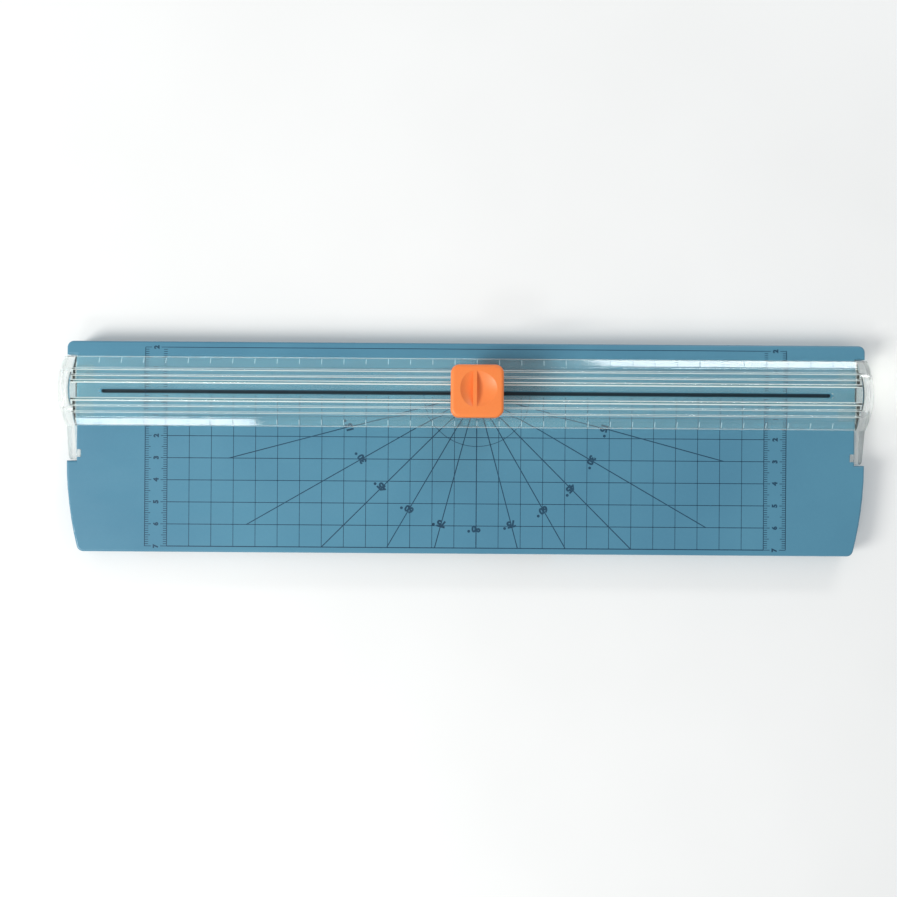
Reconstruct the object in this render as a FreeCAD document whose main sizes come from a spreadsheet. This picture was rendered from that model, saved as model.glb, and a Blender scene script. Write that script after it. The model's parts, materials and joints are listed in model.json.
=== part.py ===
import FreeCAD, Part
import math
import os
import Sketcher

# Rotary paper trimmer for A4 sheets, in millimetres.
# X runs along the cut, +Y points to the user's edge of the base, +Z is up.
# The origin lies on the desk, under the middle of the base.

V = FreeCAD.Vector

SIZES = {
    # Base plate
    "base_length": 361.4,
    "base_depth": 95.4,
    "base_height": 10.3,
    "base_lift": 1.2,
    "base_skin": 2.2,
    "base_wall": 2.0,
    "side_taper": 5.4,
    "side_taper_radius": 154.0,
    "back_corner_radius": 3.0,
    "front_corner_radius": 3.0,
    "base_edge_radius": 1.0,
    "cut_line": 25.0,
    "end_notch_depth": 4.5,
    "end_notch_behind": 16.4,
    "end_notch_ahead": 31.6,
    "end_wall": 4.8,
    "rib_thickness": 1.5,
    "rib_spacing": 50.0,
    "rib_count": 7,
    "rib_clearance": 4.0,
    "trough_width": 5.5,
    "trough_height": 2.7,
    # Cutting strip
    "strip_length": 330.0,
    "strip_width": 1.7,
    "strip_height": 3.2,
    "strip_gap": 0.05,
    "strip_seat_depth": 3.4,
    "strip_score_width": 0.8,
    "strip_score_depth": 0.9,
    # Feet
    "foot_radius": 5.0,
    "foot_height": 1.8,
    "foot_edge": 0.4,
    "foot_boss_radius": 6.5,
    "foot_gap": 0.1,
    "foot_front_y": 36.0,
    "foot_back_y": 38.0,
    "foot_front_x": 165.0,
    "foot_back_x": 160.0,
    "foot_middle_x": 80.0,
    # Swing-out ruler arm
    "arm_pivot_x": 140.0,
    "arm_pivot_y": 38.0,
    "arm_length": 178.0,
    "arm_width": 16.0,
    "arm_thickness": 2.4,
    "arm_lift": 2.4,
    "arm_recess_depth": 0.8,
    "arm_recess_margin": 3.0,
    "arm_gap": 0.2,
    "journal_radius": 3.0,
    "journal_gap": 0.06,
    "journal_boss_radius": 5.0,
    "washer_radius": 4.5,
    "washer_thickness": 0.5,
    "arm_screw_radius": 1.5,
    "arm_screw_length": 5.5,
    "arm_screw_head_radius": 3.0,
    "arm_screw_head_height": 1.1,
    "screw_gap": 0.05,
    "nail_notch_width": 22.0,
    "nail_notch_height": 7.4,
    # Transparent rail
    "rail_length": 352.0,
    "paper_gap": 0.15,
    "flange_half_width": 15.7,
    "flange_edge_height": 1.9,
    "flange_edge_radius": 0.5,
    "flange_shoulder": 12.4,
    "flange_shoulder_height": 3.2,
    "rib_radius": 0.4,
    "rib_foot": 0.15,
    "inner_rib_radius": 0.8,
    "inner_rib": 4.0,
    "middle_rib": 6.8,
    "outer_rib": 9.6,
    "inner_rib_top": 8.0,
    "middle_rib_top": 7.4,
    "outer_rib_top": 6.2,
    "inner_valley": 5.4,
    "outer_valley": 4.8,
    "channel_undercut": 4.6,
    "undercut_height": 1.6,
    "rail_floor": 1.5,
    "press_pad": 4.4,
    "press_recess": 0.9,
    "blade_slot_width": 2.4,
    "blade_slot_length": 332.0,
    # Rail end arms and their pivots
    "pivot_ahead": 28.2,
    "pivot_height": 7.0,
    "pivot_radius": 2.0,
    "pivot_gap": 0.06,
    "pivot_length": 2.4,
    "pivot_seat_depth": 2.4,
    "pivot_neck_width": 3.5,
    "end_foot_radius": 3.0,
    "end_reach": 8.0,
    "end_bow_radius": 37.0,
    "end_bow_centre": 0.5,
    "end_lean": 5.5,
    "end_dome_height": 8.5,
    "end_edge_radius": 1.0,
    "end_wall_thickness": 1.8,
    "end_web": 1.6,
    "end_hollow_height": 6.0,
    "end_hollow_angle": 28.0,
    "end_leg": 4.1,
    "end_clearance": 0.6,
    "weld_tongue_length": 8.0,
    "weld_tongue_height": 0.7,
    "end_stop_length": 5.4,
    # Cutter head
    "head_rest": 4.6,
    "carriage_side": 20.1,
    "carriage_corner": 2.6,
    "carriage_bottom": 8.2,
    "carriage_top": 12.0,
    "keel_length": 19.6,
    "keel_half_width": 3.0,
    "keel_bottom": 1.7,
    "tongue_half_width": 4.3,
    "tongue_top": 2.9,
    "well_length": 17.2,
    "well_half_width": 2.05,
    "wing_well_half_width": 3.6,
    "wing_well_reach": 9.3,
    "wing_well_floor": 9.0,
    "spring_offset": 7.1,
    "spring_well_radius": 2.4,
    "spring_well_floor": 9.6,
    "cap_side": 23.0,
    "cap_corner": 3.8,
    "cap_edge": 1.5,
    "cap_wall": 1.3,
    "cap_bottom": 10.5,
    "cap_top": 20.6,
    "cap_ceiling": 17.0,
    "scoop_left_width": 6.4,
    "scoop_right_width": 9.6,
    "scoop_half_length": 7.8,
    "scoop_depth": 2.2,
    "scoop_offset_x": -1.0,
    "scoop_offset_y": 1.0,
    "grip_thickness": 1.7,
    "spring_post_radius": 1.3,
    "spring_post_length": 2.4,
    "cap_boss_radius": 2.3,
    "cap_boss_bottom": 14.0,
    "cap_screw_offset": 6.2,
    "cap_screw_radius": 0.8,
    "cap_screw_length": 4.6,
    "cap_screw_head_radius": 1.7,
    "cap_screw_head_height": 1.1,
    "recess_width": 0.5,
    "recess_depth": 0.6,
    "holder_half_length": 6.5,
    "holder_half_width": 1.9,
    "holder_bottom": 4.0,
    "holder_top": 16.8,
    "holder_slit_half": 0.7,
    "holder_slit_top": 15.95,
    "wing_half_width": 3.2,
    "wing_reach": 8.9,
    "wing_thickness": 1.2,
    # Blade
    "blade_radius": 7.0,
    "blade_thickness": 0.3,
    "blade_bevel": 0.8,
    "blade_edge": 0.04,
    "blade_bore": 1.6,
    "blade_height": 8.65,
    "hub_radius": 2.4,
    "hub_width": 1.2,
    "axle_radius": 1.0,
    "axle_gap": 0.04,
    "axle_length": 3.7,
    "spring_radius": 1.75,
    "spring_wire": 0.22,
    "spring_turns": 6,
}

doc = FreeCAD.newDocument("PaperTrimmer")
sheet = doc.addObject("Spreadsheet::Sheet", "Sizes")
PARTS = []


class Size:
    """A number together with the spreadsheet expression that gives it."""

    def __init__(self, value, text):
        self.value = value
        self.text = text

    def __add__(self, other):
        other = as_size(other)
        return Size(self.value + other.value, f"({self.text} + {other.text})")

    def __sub__(self, other):
        other = as_size(other)
        return Size(self.value - other.value, f"({self.text} - {other.text})")

    def __mul__(self, other):
        other = as_size(other)
        return Size(self.value * other.value, f"({self.text} * {other.text})")

    def __truediv__(self, other):
        other = as_size(other)
        return Size(self.value / other.value, f"({self.text} / {other.text})")

    def __radd__(self, other):
        return as_size(other) + self

    def __rsub__(self, other):
        return as_size(other) - self

    def __rmul__(self, other):
        return as_size(other) * self

    def __neg__(self):
        return Size(-self.value, f"(0 - {self.text})")


def as_size(number):
    return number if isinstance(number, Size) else Size(float(number), repr(float(number)))


def size(name):
    return Size(float(SIZES[name]), "Sizes." + name)


def fill_sheet():
    for row, (name, value) in enumerate(SIZES.items(), start=1):
        sheet.set(f"A{row}", name)
        sheet.set(f"B{row}", str(value))
        sheet.setAlias(f"B{row}", name)
    doc.recompute()


def bind(thing, path, amount):
    """Sets a property, and ties it to the sheet."""
    amount = as_size(amount)
    thing.setExpression(path, amount.text)


def place(thing, x=0, y=0, z=0):
    for axis, amount in zip("xyz", (x, y, z)):
        bind(thing, f".Placement.Base.{axis}", amount)


def keep(thing, label):
    """Marks a finished sub-part: its label names its file."""
    thing.Label = label
    PARTS.append(thing)
    return thing


# ---------------------------------------------------------------- sketches


def new_body(name, x=0, y=0, z=0):
    body = doc.addObject("PartDesign::Body", name + "_body")
    place(body, x, y, z)
    return body


def new_sketch(body, plane, offset=0):
    """A sketch on one of the body's own origin planes, shifted along that plane's normal."""
    sketch = body.newObject("Sketcher::SketchObject", "Sketch")
    support = next(f for f in body.Origin.OriginFeatures if f.Role == plane)
    sketch.AttachmentSupport = [(support, "")]
    sketch.MapMode = "FlatFace"
    bind(sketch, ".AttachmentOffset.Base.z", offset)
    return sketch


def fix_point(sketch, geometry, point, x, y):
    for kind, amount in (("DistanceX", x), ("DistanceY", y)):
        if amount is not None:
            amount = as_size(amount)
            index = sketch.addConstraint(
                Sketcher.Constraint(kind, geometry, point, amount.value))
            sketch.setExpression(f"Constraints[{index}]", amount.text)


def arc_middle(start, end, radius):
    """The middle of a minor arc; a positive radius has its centre on the left of start to end."""
    chord = end - start
    half = chord.Length / 2
    rise = abs(radius) - math.sqrt(max(radius * radius - half * half, 0.0))
    right = V(chord.y, -chord.x, 0).normalize()
    return (start + end) / 2 + right * rise * (1 if radius > 0 else -1)


def draw_path(sketch, path):
    """A closed outline. Each entry is (x, y), or (x, y, radius) where an arc starts, or
    (x, y, "half") where a half circle starts, bulging to the right of the way it is drawn."""
    corners = [V(as_size(p[0]).value, as_size(p[1]).value, 0) for p in path]
    edges = []
    for i, entry in enumerate(path):
        start, end = corners[i], corners[(i + 1) % len(path)]
        if len(entry) == 2:
            edge = sketch.addGeometry(Part.LineSegment(start, end))
            edges.append((edge, 1, 2))
            continue
        half = entry[2] == "half"
        radius = (end - start).Length / 2 if half else as_size(entry[2]).value
        middle = arc_middle(start, end, radius)
        if radius > 0:
            edge = sketch.addGeometry(Part.ArcOfCircle(start, middle, end))
            edges.append((edge, 1, 2))
        else:
            edge = sketch.addGeometry(Part.ArcOfCircle(end, middle, start))
            edges.append((edge, 2, 1))
    for i, (edge, first, last) in enumerate(edges):
        following, follow_first, _ = edges[(i + 1) % len(edges)]
        sketch.addConstraint(
            Sketcher.Constraint("Coincident", edge, last, following, follow_first))
    for i, entry in enumerate(path):
        edge, first, _ = edges[i]
        fix_point(sketch, edge, first, entry[0], entry[1])
        if len(entry) == 3:
            after = path[(i + 1) % len(path)]
            if entry[2] == "half":
                across = abs(corners[i].x - corners[(i + 1) % len(path)].x)
                upright = across < 1e-6
                fix_point(sketch, edge, 3,
                          entry[0] if upright else None,
                          None if upright else (as_size(entry[1]) + after[1]) / 2)
            else:
                radius = as_size(entry[2])
                wanted = radius if radius.value > 0 else -radius
                index = sketch.addConstraint(
                    Sketcher.Constraint("Radius", edge, wanted.value))
                sketch.setExpression(f"Constraints[{index}]", wanted.text)
    return sketch


def draw_rectangle(sketch, x0, y0, x1, y1):
    return draw_path(sketch, [(x0, y0), (x1, y0), (x1, y1), (x0, y1)])


def draw_slot(sketch, half_length, radius):
    """A straight slot along x with half-round ends, centred on the sketch's origin."""
    straight = half_length - radius
    return draw_path(sketch, [
        (-straight, -radius), (straight, -radius, "half"),
        (straight, radius), (-straight, radius, "half")])


def draw_circle(sketch, x, y, radius):
    x, y, radius = as_size(x), as_size(y), as_size(radius)
    edge = sketch.addGeometry(Part.Circle(V(x.value, y.value, 0), V(0, 0, 1), radius.value))
    fix_point(sketch, edge, 3, x, y)
    index = sketch.addConstraint(Sketcher.Constraint("Radius", edge, radius.value))
    sketch.setExpression(f"Constraints[{index}]", radius.text)
    return sketch


# ---------------------------------------------------------------- features


def pad(body, sketch, length, backwards=False, symmetric=False):
    feature = body.newObject("PartDesign::Pad", "Pad")
    feature.Profile = sketch
    bind(feature, "Length", length)
    feature.Reversed = backwards
    feature.SideType = "Symmetric" if symmetric else "One side"
    sketch.Visibility = False
    doc.recompute()
    return feature


def pocket(body, sketch, depth, backwards=False, symmetric=False):
    """A cut. It stops the build if it takes nothing away, which a wrong direction would do."""
    before = body.Shape.Volume
    feature = body.newObject("PartDesign::Pocket", "Pocket")
    feature.Profile = sketch
    bind(feature, "Length", depth)
    feature.Reversed = backwards
    feature.SideType = "Symmetric" if symmetric else "One side"
    doc.recompute()
    if not body.Shape.Volume < before - 1e-6:
        raise RuntimeError(f"a pocket in {body.Name} cuts nothing")
    return feature


def edges_where(feature, test):
    return [f"Edge{i}" for i, edge in enumerate(feature.Shape.Edges, start=1) if test(edge)]


def round_edges(body, feature, radius, test, kind="Fillet"):
    names = edges_where(feature, test)
    if not names:
        raise RuntimeError(f"no edge to round in {body.Name}")
    done = body.newObject("PartDesign::" + kind, kind)
    done.Base = (feature, names)
    bind(done, "Radius" if kind == "Fillet" else "Size", radius)
    doc.recompute()
    return done


def is_upright(edge):
    ends = [v.Point for v in edge.Vertexes]
    return len(ends) == 2 and (ends[0] - ends[1]).cross(V(0, 0, 1)).Length < 1e-6


def is_level_at(height):
    def test(edge):
        box = edge.BoundBox
        return abs(box.ZMin - height) < 1e-4 and abs(box.ZMax - height) < 1e-4
    return test


# ---------------------------------------------------------------- base plate

base_top = size("base_lift") + size("base_height")
rail_bottom = base_top + size("paper_gap")
half_length = size("base_length") / 2
half_depth = size("base_depth") / 2
notch_wall = half_length - size("end_notch_depth")
notch_back = size("cut_line") + size("end_notch_behind")
notch_front = size("cut_line") - size("end_notch_ahead")
pivot_y = size("cut_line") - size("pivot_ahead")


def base_outline(sketch):
    front = half_length - size("side_taper")
    radius = size("side_taper_radius")
    return draw_path(sketch, [
        (-front, -half_depth), (front, -half_depth, radius),
        (half_length, notch_front), (notch_wall, notch_front),
        (notch_wall, notch_back), (half_length, notch_back),
        (half_length, half_depth), (-half_length, half_depth),
        (-half_length, notch_back), (-notch_wall, notch_back),
        (-notch_wall, notch_front), (-half_length, notch_front, radius)])


def base_cavity(sketch):
    wall = size("base_wall")
    side = notch_wall - size("end_wall")
    flank = half_length - wall - 1.0
    front = half_length - size("side_taper") - wall
    shelf = notch_front - wall
    return draw_path(sketch, [
        (-front, wall - half_depth), (front, wall - half_depth), (flank, shelf), (side, shelf),
        (side, half_depth - wall), (-side, half_depth - wall), (-side, shelf), (-flank, shelf)])


def foot_places():
    """Label, x and y of each of the six feet."""
    front, back = -size("foot_front_y"), size("foot_back_y")
    return [
        ("foot_front_left", -size("foot_front_x"), front),
        ("foot_front_middle", size("foot_middle_x"), front),
        ("foot_front_right", size("foot_front_x"), front),
        ("foot_back_left", -size("foot_back_x"), back),
        ("foot_back_middle", as_size(0), back),
        ("foot_back_right", size("foot_back_x"), back)]


def add_base_ribs(body):
    """Cross ribs by a linear pattern, one lengthwise rib and the trough that backs the strip."""
    ceiling = size("base_height") - size("base_skin")
    depth = half_depth - size("base_wall") / 2
    start = -size("rib_spacing") * (size("rib_count") - 1) / 2
    thin = size("rib_thickness") / 2
    sketch = new_sketch(body, "XY_Plane", size("rib_clearance"))
    draw_rectangle(sketch, start - thin, -depth, start + thin, depth)
    rib = pad(body, sketch, ceiling - size("rib_clearance") + 0.5)
    pattern = body.newObject("PartDesign::LinearPattern", "Ribs")
    pattern.Originals = [rib]
    axis = next(f for f in body.Origin.OriginFeatures if f.Role == "X_Axis")
    pattern.Direction = (axis, [""])
    bind(pattern, "Length", size("rib_spacing") * (size("rib_count") - 1))
    pattern.Occurrences = SIZES["rib_count"]
    body.Tip = pattern
    doc.recompute()
    side = notch_wall - size("end_wall") / 2
    sketch = new_sketch(body, "XY_Plane", size("rib_clearance"))
    draw_rectangle(sketch, -side, -14.0 - thin, side, -14.0 + thin)
    pad(body, sketch, ceiling - size("rib_clearance") + 0.5)
    sketch = new_sketch(body, "XY_Plane", ceiling - size("trough_height"))
    edge = size("trough_width") / 2
    draw_rectangle(sketch, -side, size("cut_line") - edge, side, size("cut_line") + edge)
    pad(body, sketch, size("trough_height") + 0.5)


def add_foot_seats(body):
    ceiling = size("base_height") - size("base_skin")
    sketch = new_sketch(body, "XY_Plane")
    for _, x, y in foot_places():
        draw_circle(sketch, x, y, size("foot_boss_radius"))
    pad(body, sketch, ceiling + 0.5)
    sketch = new_sketch(body, "XY_Plane")
    for _, x, y in foot_places():
        draw_circle(sketch, x, y, size("foot_radius") + size("foot_gap"))
    pocket(body, sketch, size("foot_height") - size("base_lift"), backwards=True)


def add_ruler_pivot(body):
    """A boss and journal for the swing-out arm, and the screw's hole up through both."""
    ceiling = size("base_height") - size("base_skin")
    arm_top = size("arm_lift") + size("arm_thickness") + size("arm_gap") - size("base_lift")
    journal_end = size("arm_lift") - size("arm_gap") - 0.1 - size("base_lift")
    x, y = -size("arm_pivot_x"), -size("arm_pivot_y")
    sketch = new_sketch(body, "XY_Plane", arm_top)
    draw_circle(sketch, x, y, size("journal_boss_radius"))
    pad(body, sketch, ceiling - arm_top + 0.5)
    sketch = new_sketch(body, "XY_Plane", journal_end)
    draw_circle(sketch, x, y, size("journal_radius"))
    pad(body, sketch, arm_top - journal_end + 0.5)
    sketch = new_sketch(body, "XY_Plane", journal_end)
    draw_circle(sketch, x, y, size("arm_screw_radius") + size("screw_gap"))
    pocket(body, sketch, size("arm_screw_length") + 0.4, backwards=True)


def cut_arm_opening(body):
    """The low slot in the front skirt that the ruler arm swings out through, and a nail notch."""
    left = -size("arm_pivot_x") - size("arm_width") / 2 - 1.0
    right = -size("arm_pivot_x") + size("arm_length") + 2.0
    arm_top = size("arm_lift") + size("arm_thickness") + size("arm_gap") - size("base_lift")
    outside = half_depth + 1.0
    sketch = new_sketch(body, "XZ_Plane", outside)
    draw_rectangle(sketch, left, -1.0, right, arm_top)
    pocket(body, sketch, size("base_wall") + 2.0)
    sketch = new_sketch(body, "XZ_Plane", outside)
    top = size("nail_notch_height") - size("base_lift")
    draw_path(sketch, [
        (right - size("nail_notch_width"), -1.0), (right, -1.0), (right, top - 2.0, 2.0),
        (right - 2.0, top), (right - size("nail_notch_width") + 2.0, top, 2.0),
        (right - size("nail_notch_width"), top - 2.0)])
    pocket(body, sketch, size("base_wall") + 2.0)


def cut_pivot_seats(body):
    """A bore for each rail pivot, with a narrower neck open upwards that the pivot snaps through."""
    height = size("pivot_height") - size("base_lift")
    depth = size("pivot_seat_depth") + 0.5
    neck = size("pivot_neck_width") / 2
    for sign, backwards in ((1, False), (-1, True)):
        offset = sign * (notch_wall + 0.5)
        sketch = new_sketch(body, "YZ_Plane", offset)
        draw_circle(sketch, pivot_y, height, size("pivot_radius") + size("pivot_gap"))
        pocket(body, sketch, depth, backwards)
        sketch = new_sketch(body, "YZ_Plane", offset)
        draw_rectangle(sketch, pivot_y - neck, height, pivot_y + neck,
                       size("base_height") + 1.0)
        pocket(body, sketch, depth, backwards)


def make_base_plate():
    body = new_body("base_plate", z=size("base_lift"))
    plate = pad(body, base_outline(new_sketch(body, "XY_Plane")), size("base_height"))
    top = SIZES["base_height"]

    def is_back_corner(edge):
        centre = edge.CenterOfMass
        return (is_upright(edge) and abs(abs(centre.x) - half_length.value) < 1e-4
                and abs(centre.y - half_depth.value) < 1e-4)

    def is_front_corner(edge):
        return is_upright(edge) and abs(edge.CenterOfMass.y + half_depth.value) < 1e-4

    corners = round_edges(body, plate, size("back_corner_radius"), is_back_corner)
    corners = round_edges(body, corners, size("front_corner_radius"), is_front_corner)
    round_edges(body, corners, size("base_edge_radius"), is_level_at(top))
    pocket(body, base_cavity(new_sketch(body, "XY_Plane")),
           size("base_height") - size("base_skin"), backwards=True)
    add_base_ribs(body)
    add_foot_seats(body)
    add_ruler_pivot(body)
    sketch = new_sketch(body, "XY_Plane", size("base_height"))
    half = size("strip_length") / 2 + size("strip_gap")
    radius = size("strip_width") / 2 + size("strip_gap")
    straight = half - radius
    line = size("cut_line")
    draw_path(sketch, [
        (-straight, line - radius), (straight, line - radius, "half"),
        (straight, line + radius), (-straight, line + radius, "half")])
    pocket(body, sketch, size("strip_seat_depth"))
    cut_arm_opening(body)
    cut_pivot_seats(body)
    return keep(body, "base_plate")


def make_cutting_strip():
    body = new_body("cutting_strip", y=size("cut_line"),
                    z=base_top - size("strip_seat_depth"))
    sketch = draw_slot(new_sketch(body, "XY_Plane"), size("strip_length") / 2,
                       size("strip_width") / 2)
    pad(body, sketch, size("strip_height"))
    sketch = draw_slot(new_sketch(body, "XY_Plane", size("strip_height")),
                       size("strip_length") / 2 - 0.5, size("strip_score_width") / 2)
    pocket(body, sketch, size("strip_score_depth"))
    return keep(body, "cutting_strip")


def make_foot(label, x, y):
    disc = doc.addObject("Part::Cylinder", label + "_disc")
    bind(disc, "Radius", size("foot_radius"))
    bind(disc, "Height", size("foot_height"))
    place(disc, x, y)
    doc.recompute()
    foot = doc.addObject("Part::Fillet", label + "_foot")
    foot.Base = disc
    foot.Edges = [(i, SIZES["foot_edge"], SIZES["foot_edge"])
                  for i, edge in enumerate(disc.Shape.Edges, start=1)
                  if abs(edge.BoundBox.ZMax) < 1e-6]
    return keep(foot, label)


# ---------------------------------------------------------------- ruler arm


def make_ruler_arm():
    body = new_body("ruler_arm", -size("arm_pivot_x"), -size("arm_pivot_y"), size("arm_lift"))
    radius = size("arm_width") / 2
    reach = size("arm_length") - radius
    plate = pad(body, draw_path(new_sketch(body, "XY_Plane"), [
        (as_size(0), -radius), (reach, -radius, "half"), (reach, radius), (0, radius, "half")]),
        size("arm_thickness"))
    round_edges(body, plate, 0.4, is_level_at(SIZES["arm_thickness"]), "Fillet")
    sketch = draw_circle(new_sketch(body, "XY_Plane"), 0, 0,
                         size("journal_radius") + size("journal_gap"))
    pocket(body, sketch, size("arm_thickness") + 1.0, backwards=True)
    margin = size("arm_recess_margin")
    sketch = new_sketch(body, "XY_Plane")
    draw_rectangle(sketch, radius + margin, margin - radius, reach, radius - margin)
    pocket(body, sketch, size("arm_recess_depth"), backwards=True)
    return keep(body, "ruler_arm")


def make_screw(name, radius, length, head_radius, head_height):
    """A pan-head screw standing on its head, shank up, with a cross recess in the head."""
    body = new_body(name)
    sketch = new_sketch(body, "XZ_Plane")
    dome = head_height * 0.4
    tip = radius * 0.6
    draw_path(sketch, [
        (as_size(0), as_size(0)), (head_radius * 0.7, as_size(0)), (head_radius, dome),
        (head_radius, head_height), (radius, head_height), (radius, head_height + length - tip),
        (radius - tip, head_height + length), (as_size(0), head_height + length)])
    feature = body.newObject("PartDesign::Revolution", "Turned")
    feature.Profile = sketch
    feature.ReferenceAxis = (sketch, ["V_Axis"])
    feature.Angle = 360
    doc.recompute()
    arm, thin = head_radius * 0.6, size("recess_width") / 2
    for along, across in ((arm, thin), (thin, arm)):
        cut = draw_rectangle(new_sketch(body, "XY_Plane"), -along, -across, along, across)
        pocket(body, cut, size("recess_depth"), backwards=True)
    return body


def make_ruler_fasteners():
    journal_end = size("arm_lift") - size("arm_gap") - 0.1
    washer = new_body("ruler_arm_washer", -size("arm_pivot_x"), -size("arm_pivot_y"),
                      journal_end - size("washer_thickness"))
    sketch = new_sketch(washer, "XY_Plane")
    draw_circle(sketch, 0, 0, size("washer_radius"))
    draw_circle(sketch, 0, 0, size("arm_screw_radius") + size("screw_gap"))
    pad(washer, sketch, size("washer_thickness"))
    keep(washer, "ruler_arm_washer")
    screw = make_screw("ruler_arm_screw", size("arm_screw_radius"), size("arm_screw_length"),
                       size("arm_screw_head_radius"), size("arm_screw_head_height"))
    place(screw, -size("arm_pivot_x"), -size("arm_pivot_y"),
          journal_end - size("washer_thickness") - size("arm_screw_head_height"))
    keep(screw, "ruler_arm_screw")


# ---------------------------------------------------------------- transparent rail


def rib(centre, top, radius):
    """A rounded rib of the rail, drawn from its outer foot over the top to its inner foot."""
    shoulder = top - radius
    return [(centre + radius, shoulder, "half"), (centre - radius, shoulder)]


def rail_side(mirror):
    """One flank of the rail's cross-section, from the flange's edge up to the innermost rib,
    as (y, z) seen along the rail; mirror gives the other flank, drawn downwards."""
    edge, radius = size("flange_half_width"), size("flange_edge_radius")
    thin, thick = size("rib_radius"), size("inner_rib_radius")
    foot, inner_foot = thin + size("rib_foot"), thick + size("rib_foot")
    inner, middle, outer = size("inner_rib"), size("middle_rib"), size("outer_rib")
    points = [
        (edge, size("flange_edge_height") - radius, radius),
        (edge - radius, size("flange_edge_height")),
        (size("flange_shoulder"), size("flange_shoulder_height"), -4.0),
        (outer + foot, size("outer_valley"))]
    points += rib(outer, size("outer_rib_top"), thin)
    points += [(outer - foot, size("outer_valley")), (middle + foot, size("outer_valley"))]
    points += rib(middle, size("middle_rib_top"), thin)
    points += [(middle - foot, size("inner_valley")), (inner + inner_foot, size("inner_valley"))]
    points += rib(inner, size("inner_rib_top"), thick)
    if not mirror:
        return points
    flipped = []
    for i in range(len(points) - 1, -1, -1):
        y, z = points[i][0], points[i][1]
        before = points[i - 1] if i > 0 else ()
        bulge = before[2:3]
        flipped.append((-y, z) + tuple(bulge))
    return flipped


def make_rail_profile():
    body = new_body("rail_profile", y=size("cut_line"), z=rail_bottom)
    wall = size("inner_rib") - size("inner_rib_radius")
    undercut, floor = size("channel_undercut"), size("rail_floor")
    ledge = floor + size("undercut_height")
    channel = [(wall, ledge), (undercut, ledge), (undercut, floor),
               (-undercut, floor), (-undercut, ledge), (-wall, ledge)]
    edge, shoulder, press = size("flange_half_width"), size("flange_shoulder"), size("press_pad")
    recess = size("press_recess")
    underside = [(-edge, as_size(0)), (-shoulder, as_size(0)), (-shoulder, recess),
                 (-press, recess), (-press, as_size(0)), (press, as_size(0)), (press, recess),
                 (shoulder, recess), (shoulder, as_size(0)), (edge, as_size(0))]
    outline = rail_side(False) + channel + rail_side(True) + underside
    sketch = draw_path(new_sketch(body, "YZ_Plane"), outline)
    pad(body, sketch, size("rail_length"), symmetric=True)
    slot = draw_slot(new_sketch(body, "XY_Plane"), size("blade_slot_length") / 2,
                     size("blade_slot_width") / 2)
    pocket(body, slot, floor + 0.5, backwards=True)
    return keep(body, "rail_profile")


def end_dome(sketch, sole):
    """The arm's section across the cut: a low dome over the rail's end, and a skirt below."""
    edge, radius = size("flange_half_width"), size("flange_edge_radius")
    rim, heel = size("flange_edge_height"), as_size(3.4)
    half, rise = edge - radius, size("end_dome_height") - rim
    dome = (half * half + rise * rise) / (2 * rise)
    return draw_path(sketch, [
        (edge, rim - radius, radius), (half, rim, dome), (-half, rim, radius),
        (-edge, rim - radius), (-edge, sole), (edge - heel, sole, heel), (edge, sole + heel)])


def turn_away(body, path, angle, name):
    """A cut turned about the upright axis of the arm's bowed face. The path holds
    (distance from that axis, height) points."""
    axis_x = size("rail_length") / 2 + size("end_reach") - size("end_bow_radius")
    sketch = new_sketch(body, "XZ_Plane", -size("end_bow_centre"))
    bind(sketch, ".AttachmentOffset.Base.x", axis_x)
    draw_path(sketch, path)
    before = body.Shape.Volume
    groove = body.newObject("PartDesign::Groove", name)
    groove.Profile = sketch
    groove.ReferenceAxis = (sketch, ["V_Axis"])
    groove.Midplane = True
    bind(groove, "Angle", angle)
    doc.recompute()
    if not body.Shape.Volume < before - 1e-6:
        raise RuntimeError(f"{name} in {body.Name} cuts nothing")
    return groove


def shape_end(body, sole):
    """Gives the arm its bowed outer face, which leans in towards the top, and hollows it."""
    bow, top = size("end_bow_radius"), size("end_dome_height")
    low, beyond = sole - 1.0, bow + 6.0
    lean_top = bow - size("end_lean")
    face = turn_away(body, [
        (bow, low), (beyond, low), (beyond, top + 2.0), (lean_top, top + 2.0),
        (lean_top, top, -9.5), (bow, 0.4)], 180.0, "Outer_face")

    def is_rim(edge):
        centre = edge.CenterOfMass
        straight = edge.Curve.TypeId == "Part::GeomLine"
        return not straight and centre.z > 3.0 and centre.x > size("rail_length").value / 2 + 1.0

    round_edges(body, face, size("end_edge_radius"), is_rim)
    web = bow - size("end_reach") + size("end_web")
    wall = bow - size("end_wall_thickness")
    turn_away(body, [
        (web, low), (wall, low), (wall, as_size(0), 8.0), (web, size("end_hollow_height"))],
        size("end_hollow_angle"), "Hollow")


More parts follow.
